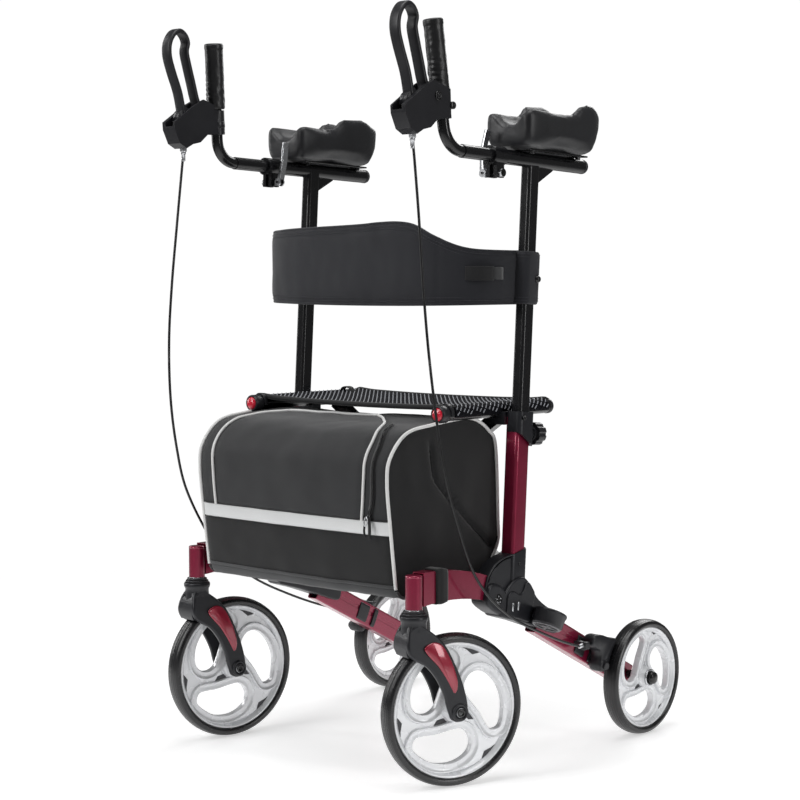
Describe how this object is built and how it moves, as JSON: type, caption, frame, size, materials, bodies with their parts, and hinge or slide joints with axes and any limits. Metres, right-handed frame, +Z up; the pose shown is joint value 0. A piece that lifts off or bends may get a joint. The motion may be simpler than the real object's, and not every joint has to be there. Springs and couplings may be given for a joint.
{
  "type": "rollator walker",
  "caption": "Folding upright rollator walker with steering casters, padded forearm rests, loop brake levers, an X brace, a mesh seat, a backrest strap and a front bag.",
  "frame": {"origin": "on the floor, under the middle of the walker's bounding box", "axes": "+Z up, -Y to the front where the bag and casters are, +X to the user's left"},
  "size_m": [0.6768, 0.7447, 1.27],
  "materials": {
    "frame_paint": "metallic crimson paint on the tubes",
    "black_tube": "satin black powder coat",
    "dark_casting": "satin charcoal",
    "dark_plastic": "fine satin grain",
    "lever_plastic": "satin",
    "bright_alloy": "polished",
    "cable_sleeve": "smooth sleeve",
    "steel": "zinc plated",
    "axle_black": "black oxide and a black hub cap",
    "tyre_rubber": "smooth, slightly glossy",
    "rim_plastic": "silver-white",
    "grip_rubber": "matt, wrinkled",
    "pad_foam": "soft foam with a satin skin",
    "seat_mesh": "ribbed mesh",
    "strap_fabric": "woven, with stitched edges",
    "bag_fabric": "woven, with pale piping"
  },
  "bodies": {
    "frame_left": {"upright_left": "frame_paint", "front_arm_left": "frame_paint", "rear_leg_left": "frame_paint", "frame_joint_left": "dark_casting", "height_collar_left": "black_tube", "brake_cable_left": "cable_sleeve", "brake_bracket_left": "dark_plastic", "rear_axle_left": "axle_black", "walking_stick_cup": "dark_plastic", "bag": "bag_fabric"},
    "frame_right": {"upright_right": "frame_paint", "front_arm_right": "frame_paint", "rear_leg_right": "frame_paint", "frame_joint_right": "dark_casting", "height_collar_right": "black_tube", "brake_cable_right": "cable_sleeve", "brake_bracket_right": "dark_plastic", "rear_axle_right": "axle_black"},
    "brace_right": {"cross_brace_right": "black_tube", "seat_rail_right": "black_tube", "cross_pivot_bolt": "steel"},
    "brace_left": {"cross_brace_left": "black_tube", "seat_rail_left": "black_tube", "seat": "seat_mesh"},
    "post_left": {"height_post_left": "black_tube", "arm_tube_left": "black_tube", "pad_plate_left": "black_tube", "forearm_pad_left": "pad_foam", "backrest_strap": "strap_fabric"},
    "handle_left": {"handle_tube_left": "black_tube", "hand_grip_left": "grip_rubber", "brake_housing_left": "dark_plastic"},
    "brake_lever_left": {"brake_lever_left": "lever_plastic"},
    "quick_lever_left": {"quick_release_lever_left": "bright_alloy"},
    "knob_left": {"height_knob_left": "dark_plastic"},
    "brake_shoe_left": {"brake_shoe_left": "dark_plastic"},
    "caster_left": {"caster_fork_left": "dark_plastic", "caster_pins_left": "steel"},
    "front_wheel_left": {"front_tyre_left": "tyre_rubber", "front_rim_left": "rim_plastic"},
    "rear_wheel_left": {"rear_tyre_left": "tyre_rubber", "rear_rim_left": "rim_plastic"},
    "post_right": {"height_post_right": "black_tube", "arm_tube_right": "black_tube", "pad_plate_right": "black_tube", "forearm_pad_right": "pad_foam"},
    "handle_right": {"handle_tube_right": "black_tube", "hand_grip_right": "grip_rubber", "brake_housing_right": "dark_plastic"},
    "brake_lever_right": {"brake_lever_right": "lever_plastic"},
    "quick_lever_right": {"quick_release_lever_right": "bright_alloy"},
    "knob_right": {"height_knob_right": "dark_plastic"},
    "brake_shoe_right": {"brake_shoe_right": "dark_plastic"},
    "caster_right": {"caster_fork_right": "dark_plastic", "caster_pins_right": "steel"},
    "front_wheel_right": {"front_tyre_right": "tyre_rubber", "front_rim_right": "rim_plastic"},
    "rear_wheel_right": {"rear_tyre_right": "tyre_rubber", "rear_rim_right": "rim_plastic"}
  },
  "joints": [
    {"name": "fold", "type": "hinge", "parent": "frame_left", "child": "brace_right", "pos_m": [0.2235, 0.006, 0.3], "axis": [0, 1, 0], "range_deg": [0, 41], "deforming": ["seat", "bag", "backrest_strap"]},
    {"name": "brace_cross", "type": "hinge", "parent": "brace_right", "child": "brace_left", "pos_m": [0, -0.007, 0.45402], "axis": [0, 1, 0], "range_deg": [-82, 0], "deforming": ["seat"]},
    {"name": "frame_spread", "type": "hinge", "parent": "brace_left", "child": "frame_right", "pos_m": [-0.2235, -0.02, 0.3], "axis": [0, 1, 0], "range_deg": [0, 41], "deforming": ["backrest_strap"]},
    {"name": "height_left", "type": "slide", "parent": "frame_left", "child": "post_left", "axis": [0, 0.0593, 0.9982], "range_m": [-0.12, 0.075], "deforming": ["brake_cable_left"]},
    {"name": "height_right", "type": "slide", "parent": "frame_right", "child": "post_right", "axis": [0, 0.0593, 0.9982], "range_m": [-0.12, 0.075], "deforming": ["brake_cable_right"]},
    {"name": "handle_slide_left", "type": "slide", "parent": "post_left", "child": "handle_left", "axis": [-0.0209, 0.9992, -0.0349], "range_m": [-0.06, 0.06], "deforming": ["brake_cable_left"]},
    {"name": "handle_slide_right", "type": "slide", "parent": "post_right", "child": "handle_right", "axis": [0.0209, 0.9992, -0.0349], "range_m": [-0.06, 0.06], "deforming": ["brake_cable_right"]},
    {"name": "brake_lever_left", "type": "hinge", "parent": "handle_left", "child": "brake_lever_left", "pos_m": [0.268, -0.322, 1.113], "axis": [-1, 0, 0], "range_deg": [0, 12], "stiffness_Nm_per_rad": 2},
    {"name": "brake_shoe_left", "type": "hinge", "parent": "frame_left", "child": "brake_shoe_left", "pos_m": [0.294, 0.15, 0.142], "axis": [-1, 0, 0], "range_deg": [0, 3]},
    {"name": "quick_lever_left", "type": "hinge", "parent": "post_left", "child": "quick_lever_left", "pos_m": [0.24364, -0.11391, 1.00954], "axis": [0.0209, -0.9992, 0.0349], "range_deg": [0, 100]},
    {"name": "knob_left", "type": "hinge", "parent": "frame_left", "child": "knob_left", "pos_m": [0.262, -0.00916, 0.56575], "axis": [0, 0.9982, -0.0593], "range_deg": [0, 360]},
    {"name": "caster_left", "type": "hinge", "parent": "frame_left", "child": "caster_left", "pos_m": [0.2595, -0.311, 0.3], "axis": [0, 0, 1], "continuous": true},
    {"name": "front_wheel_left", "type": "hinge", "parent": "caster_left", "child": "front_wheel_left", "pos_m": [0.28493, -0.24578, 0.127], "axis": [0.9317, -0.3633, 0], "continuous": true},
    {"name": "rear_wheel_left", "type": "hinge", "parent": "frame_left", "child": "rear_wheel_left", "pos_m": [0.3067, 0.269, 0.105], "axis": [1, 0, 0], "continuous": true},
    {"name": "brake_lever_right", "type": "hinge", "parent": "handle_right", "child": "brake_lever_right", "pos_m": [-0.268, -0.322, 1.113], "axis": [-1, 0, 0], "range_deg": [0, 12], "stiffness_Nm_per_rad": 2},
    {"name": "brake_shoe_right", "type": "hinge", "parent": "frame_right", "child": "brake_shoe_right", "pos_m": [-0.294, 0.15, 0.142], "axis": [-1, 0, 0], "range_deg": [0, 3]},
    {"name": "quick_lever_right", "type": "hinge", "parent": "post_right", "child": "quick_lever_right", "pos_m": [-0.24364, -0.11391, 1.00954], "axis": [0.0209, 0.9992, -0.0349], "range_deg": [0, 100]},
    {"name": "knob_right", "type": "hinge", "parent": "frame_right", "child": "knob_right", "pos_m": [-0.262, -0.00916, 0.56575], "axis": [0, -0.9982, 0.0593], "range_deg": [0, 360]},
    {"name": "caster_right", "type": "hinge", "parent": "frame_right", "child": "caster_right", "pos_m": [-0.2595, -0.311, 0.3], "axis": [0, 0, 1], "continuous": true},
    {"name": "front_wheel_right", "type": "hinge", "parent": "caster_right", "child": "front_wheel_right", "pos_m": [-0.24758, -0.24202, 0.127], "axis": [0.9854, -0.1702, 0], "continuous": true},
    {"name": "rear_wheel_right", "type": "hinge", "parent": "frame_right", "child": "rear_wheel_right", "pos_m": [-0.3067, 0.269, 0.105], "axis": [1, 0, 0], "continuous": true}
  ],
  "couplings": [
    {"joint": "brace_cross", "follows": "fold", "ratio": -2},
    {"joint": "frame_spread", "follows": "fold", "ratio": 1},
    {"joint": "height_right", "follows": "height_left", "ratio": 1},
    {"joint": "brake_shoe_left", "follows": "brake_lever_left", "ratio": 0.25},
    {"joint": "brake_shoe_right", "follows": "brake_lever_right", "ratio": 0.25}
  ]
}
